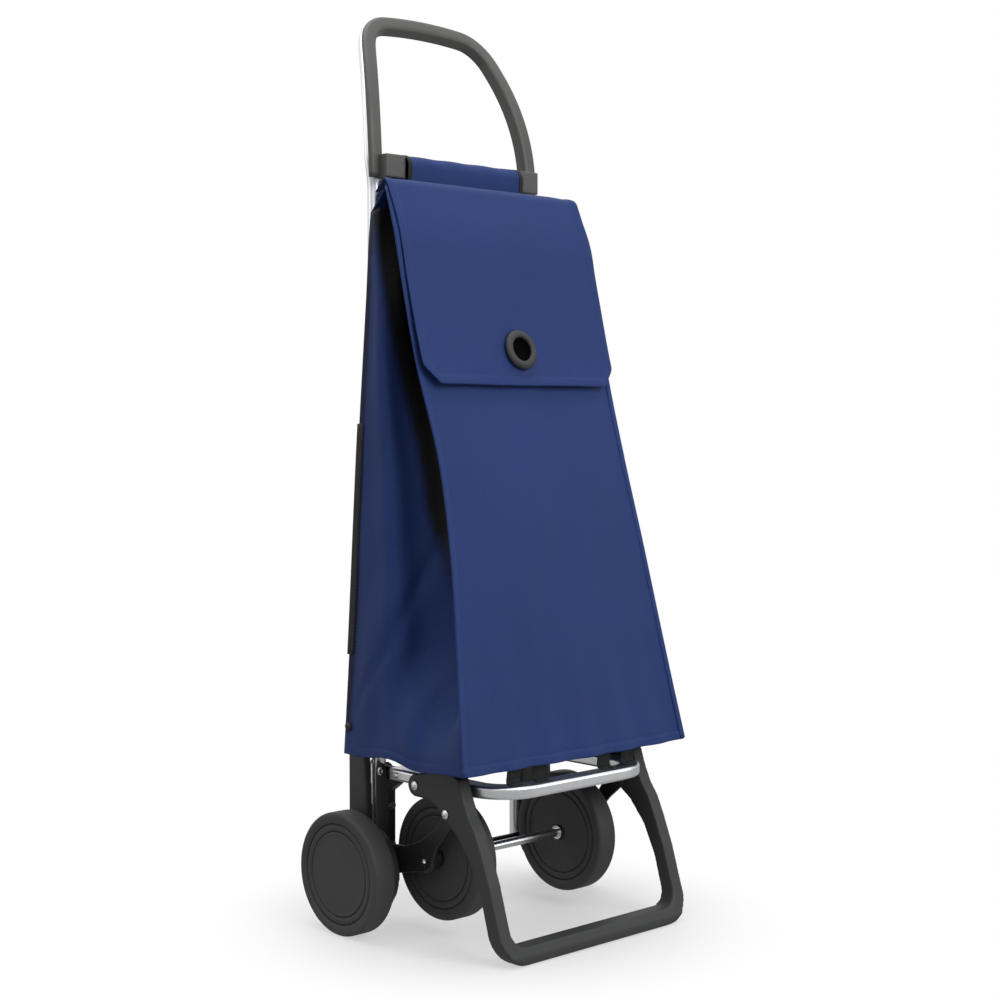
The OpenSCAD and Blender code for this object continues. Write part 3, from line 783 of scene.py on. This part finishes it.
def paint_pleat_shade_and_dark_edges(piece):
    """Marks the painted shade: the cloth inside each pleat's mouth is painted black up to a depth along the
    camera's line of sight, and the rear edges nearly black.
    """
    pleat_shade_and_dark_edge = piece.data.attributes.new("pleat_shade_and_dark_edge", "FLOAT", "POINT")
    dark_edge_from, dark_edge_value = 0.23, 0.8
    for vert in piece.data.vertices:
        x, y, z = vert.co
        behind, inside = y - front_y(z), front_half(z) - abs(x)
        # The rear edges are painted nearly black
        if z > dark_edge_from and y > BAG_BACK - 9 * MM and abs(x) > rear_half(z) - 7 * MM:
            pleat_shade_and_dark_edge.data[vert.index].value = dark_edge_value
        elif z >= PLEAT_SHADE_FROM and inside >= 1.5 * MM and behind >= 4 * MM and y <= BAG_BACK - 4 * MM:
            # Painted shade: reach is how far a point lies behind the front edge along the camera's line of
            # sight; up to 25 mm of it, less lower down, is painted black
            reach = 0.69 * behind - 0.73 * inside
            mouth = 25 * MM * min(1, (z - PLEAT_SHADE_FROM) / 0.12)
            fade = min(1, (z - PLEAT_SHADE_FROM) / 0.10)
            pleat_shade_and_dark_edge.data[vert.index].value = clamp((mouth - reach) / (9 * MM) + 0.5) * fade


def squash_bag(piece):
    """Gives a piece of the bag a mesh of its own."""
    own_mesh(piece)


def edge_strip(name, route, across, width, thick, slot, paint=None):
    """A narrow strip of cloth or tape along route, width along across."""
    verts, faces = sweep(route, [across] * len(route), rounded_outline(width, thick, thick * 0.45, 3))
    return make_piece(name, verts, faces, slot, "frame", paint=paint)


def build_bag_edges():
    """The stitched edge of the front panel down each side."""
    zs = np.linspace(BAG_BOTTOM + 1 * MM, FOLD_TOP - 4 * MM, 120)
    for side, label in ((-1, "left"), (1, "right")):
        route = [(side * (front_half(z) - 2.6 * MM), front_y(z) - 0.2 * MM, z) for z in zs]
        name = "front_edge_" + label
        squash_bag(edge_strip(name, route, (1, 0, 0), 7.5 * MM, 3.0 * MM, "blue_fabric", "blue_hem"))


def flap_y(z):
    """Where the flap's front hangs: more upright than the bag's front, so that it stands off lower down."""
    return front_y(z) - 2.8 * MM - 7.0 * MM * np.clip((0.80 - z) / 0.178, 0, 1) ** 1.4


def flap_profile():
    """The flap from the side, as (y, z): a short lid from the rear seam, a round fold and the long front."""
    top_z, bottom_z = FLAP_HINGE[2] + 1.0 * MM, low("bag_flap")[2]
    lid_end, bend_r = 0.032, 0.011
    path = []
    for y in np.linspace(FLAP_REAR, lid_end, 8):
        path.append((y, top_z + 1.2 * MM * math.sin((FLAP_REAR - y) * 60)))
    for a in np.radians(range(15, 76, 15)):
        path.append((lid_end - bend_r * math.sin(a), top_z - bend_r + bend_r * math.cos(a)))
    path += [(flap_y(z), z) for z in np.linspace(top_z - 0.012, bottom_z, 42)]
    return np.array(path)


def build_flap():
    """The flap, with its turned hem and stitching, its cut-off lower corners and the hole for its ring."""
    path = flap_profile()
    along = np.concatenate([[0], np.cumsum(np.linalg.norm(np.diff(path, axis=0), axis=1))])
    total = along[-1]
    normal = np.gradient(path, axis=0)
    normal = np.array([-normal[:, 1], normal[:, 0]]).T
    normal /= -np.linalg.norm(normal, axis=1)[:, None]

    turned, stitch = 9 * MM, 10.4 * MM
    half, bottom_half, chamfer_height = high("bag_flap")[0] - 1 * MM, 0.131, 0.022
    stations = list(np.linspace(0, total - stitch - 3 * MM, 56))
    stations += [total - stitch, total - turned, total - 4 * MM, total]
    columns = [0, 4 * MM, turned, stitch] + list(np.linspace(stitch + 4 * MM, half - 4 * MM, 24))
    verts = []
    for s in stations:
        y, z = (np.interp(s, along, path[:, k]) for k in (0, 1))
        ny, nz = (np.interp(s, along, normal[:, k]) for k in (0, 1))
        end_gap = total - s
        chamfer = min(1, end_gap / chamfer_height)
        width = half if chamfer == 1 else bottom_half + (half - bottom_half) * chamfer
        # The lid narrows towards its seam, and its sides droop
        lid = np.clip((y - 0.026) / 0.040, 0, 1)
        width -= 0.019 * lid
        for x in [-(width - c) for c in columns] + [0.0] + [width - c for c in columns[::-1]]:
            side_gap = width - abs(x)
            on_hem = (side_gap <= turned + 1e-6 and s > 0.03) or end_gap <= turned + 1e-6
            raised = 1.1 * MM if on_hem else 0.0
            belly = 3.0 * MM * (1 - (x / half) ** 2) * math.sin(math.pi * clamp((s - 0.05) / (total - 0.05)))
            wave = 1.0 * MM * math.sin(x * 31 + s * 17 + 0.5) * clamp((s - 0.06) * 12)
            droop = 0.012 * lid * max(0, 1 - side_gap / 0.035) ** 1.5
            off = raised + belly + wave
            verts.append((x, y + ny * off, z + nz * off - droop))
    piece = make_piece("flap", verts, grid_faces(len(stations), 2 * len(columns) + 1), "blue_fabric")
    cut_round_hole(piece, EYELET, 17.5 * MM)
    make_cloth(piece, 1.8 * MM, rounded=True)
    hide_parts("bag_flap")
    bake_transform(piece)


def cut_round_hole(piece, centre, radius):
    """Opens a round hole in a sheet, with its rim on a clean circle."""
    bm = bmesh.new()
    bm.from_mesh(piece.data)
    doomed = [f for f in bm.faces if (f.calc_center_median() - Vector(centre)).length < radius]
    bmesh.ops.delete(bm, geom=doomed, context="FACES")
    for vert in bm.verts:
        gap = Vector((vert.co.x - centre[0], 0, vert.co.z - centre[2]))
        if vert.is_boundary and gap.length < radius * 1.7:
            gap *= radius / gap.length
            vert.co.x, vert.co.z = centre[0] + gap.x, centre[2] + gap.z
    bm.to_mesh(piece.data)
    bm.free()


def build_eyelet():
    """Moulded ring in the flap, with a rounded lip and a short barrel; behind its hole a near-black cup,
    painted shade for the inside of the hole.
    """
    # Outlines as (radius, height) in millimetres
    lip = [(14.0, 1.0), (14.0, 5.0), (14.8, 6.2), (16.5, 7.0), (19.5, 6.8), (22.3, 5.4), (23.4, 3.6)]
    lip += [(23.4, 3.0), (18.4, 3.0), (18.4, 0.4), (14.6, 0.4)]
    shade_cup = [(0.01, 0.6), (12.0, 0.7), (14.2, 1.2), (14.4, 4.2), (13.7, 4.2), (13.2, 1.9), (12.4, 1.4)]
    shade_cup += [(0.8, 1.4), (0.01, 1.4)]
    z0 = EYELET[2]
    slope = math.atan2(float(flap_y(z0 + 0.02) - flap_y(z0 - 0.02)), 0.04)
    origin = np.array([0, float(flap_y(z0)) - 2.0 * MM, z0])
    for name, profile, paint in (("eyelet", lip, "grey_plastic"), ("eyelet_hole_shade", shade_cup, "painted_hole_shade")):
        points, faces = lathe([(r * MM, -x * MM) for r, x in profile], (0, 0, 0), 72)
        verts = []
        for y, z, x in points:
            along_y = y * math.cos(slope) + z * math.sin(slope)
            along_z = -y * math.sin(slope) + z * math.cos(slope)
            verts.append(np.array((x, along_y, along_z)) + origin)
        piece = make_piece(name, verts, faces, "black_plastic", "flap", paint=paint)
        if name == "eyelet":
            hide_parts("flap_eyelet")


def build_sleeve():
    """Fabric round the crossbar, hanging down behind the bag's top, with a black band at each end."""
    lo, hi = low("bag_sleeve"), high("bag_sleeve")
    cy, cz = CROSSBAR[1], CROSSBAR[2]
    r = 11.2 * MM
    path = [(cy - 9.0 * MM, lo[2] - 4 * MM), (cy - 10.0 * MM, lo[2] + 4 * MM)]
    path += [(cy - 10.8 * MM, lo[2] + 14 * MM)]
    path += [(cy - r * math.cos(a), cz + r * math.sin(a)) for a in np.radians(range(0, 181, 12))]
    path += [(cy + 10.5 * MM, lo[2] + 12 * MM), (cy + 7.5 * MM, lo[2] + 0.5 * MM)]
    for label, x0, x1, grow, slot in (
        ("sleeve", lo[0] + 6 * MM, hi[0] - 6 * MM, 0, "blue_fabric"),
        ("sleeve_band_left", lo[0] + 0.5 * MM, lo[0] + 7 * MM, 0.7 * MM, "black_fabric"),
        ("sleeve_band_right", hi[0] - 7 * MM, hi[0] - 0.5 * MM, 0.7 * MM, "black_fabric"),
    ):
        columns = 40 if label == "sleeve" else 4
        verts = []
        centre = np.array([cy, cz])
        for i in range(columns + 1):
            x = x0 + (x1 - x0) * i / columns
            for k, (y, z) in enumerate(path):
                out = np.array([y, z]) - centre
                out /= np.linalg.norm(out)
                wave = 0.35 * MM * math.sin(x * 130 + k * 0.4) if label == "sleeve" else 0
                verts.append((x, y + out[0] * (grow + wave), z + out[1] * (grow + wave)))
        piece = make_piece(label, verts, grid_faces(columns + 1, len(path)), slot)
        make_cloth(piece, 1.5 * MM, offset=1, rounded=True)
        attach(piece, "frame")
        if label == "sleeve":
            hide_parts("bag_sleeve")


def build_pocket():
    """Flat pocket on the back panel, bound with black tape at its edges."""
    lo, hi = low("rear_pocket"), high("rear_pocket")
    columns, rows = 30, 24
    verts = []
    for j in range(rows + 1):
        z = lo[2] + (hi[2] - lo[2]) * j / rows
        half = rear_half(z) - 0.5 * MM
        for i in range(columns + 1):
            s = -1 + 2 * i / columns
            swell = 2.6 * MM * (1 - s**6) * (1 - (2 * j / rows - 1) ** 6)
            verts.append((s * half, lo[1] + 0.4 * MM + swell, z))
    piece = make_piece("pocket", verts, grid_faces(rows + 1, columns + 1), "black_fabric")
    make_cloth(piece, 1.2 * MM)
    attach(piece, "frame")
    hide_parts("rear_pocket")
    zs = np.linspace(lo[2], hi[2], 40)
    for side, label in ((-1, "left"), (1, "right")):
        route = [(side * (rear_half(z) - 0.6 * MM), BAG_BACK - 2 * MM, z) for z in zs]
        name = "pocket_edge_" + label
        edge_strip(name, route, (0, 1, 0), 11 * MM, 2.4 * MM, "black_fabric")


def build_straps():
    """Webbing tabs between the base tube's top and the bag's bottom."""
    lo, hi = low("base_straps"), high("base_straps")
    width, y = 22 * MM, (lo[1] + hi[1]) / 2
    path = [(lo[1] + 0.8 * MM, lo[2] + 0.9 * MM), (y + 1 * MM, lo[2] + 0.9 * MM)]
    path += [(hi[1] - 1.5 * MM, lo[2] + 2.5 * MM), (hi[1] - 1.0 * MM, lo[2] + 6 * MM)]
    path += [(hi[1] - 2.4 * MM, hi[2] - 5 * MM), (hi[1] - 2.0 * MM, hi[2] - 0.3 * MM)]
    steps = 6
    verts, faces = [], []
    for middle_mm in (-91, -52, 52, 91):
        start = len(verts)
        for i in range(steps + 1):
            x = middle_mm * MM - width / 2 + width * i / steps
            for k, (py, pz) in enumerate(path):
                verts.append((x, py + 0.5 * MM * math.sin(i + k), pz))
        faces += [tuple(start + k for k in face) for face in grid_faces(steps + 1, len(path))]
    piece = make_piece("straps", verts, faces, "black_fabric")
    make_cloth(piece, 1.5 * MM, rounded=True)
    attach(piece, "base")
    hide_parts("base_straps")


# ---------------------------------------------------------------- the trolley

def paint_cad():
    """Gives every CAD node that stays visible its material."""
    for part in frame["record"]["subparts"]:
        mesh = NODES[part["node"]].data
        mesh.materials.clear()
        mesh.materials.append(MATERIALS[part["material_slot"]])


MATERIALS = make_materials()
stage_and_light()
paint_cad()
build_handle()
for name, outer in (("front_left", -1), ("front_right", 1), ("rear_left", -1), ("rear_right", 1)):
    build_wheel(name, outer)
softened("foot", "foot_loop", "grey_plastic", "foot", 0.0016, 6)
for side in ("left", "right"):
    softened("link_" + side, "side_link_" + side, "black_casting", "front_link", 0.0010, 4)
    softened("bracket_" + side, "post_" + side, "black_plastic", "frame", 0.0010, 4)
    softened("strut_" + side, "rear_strut_" + side, "grey_plastic", "frame", 0.0014, 4)
build_bag()
build_bag_edges()
build_flap()
build_eyelet()
build_sleeve()
build_pocket()
build_straps()
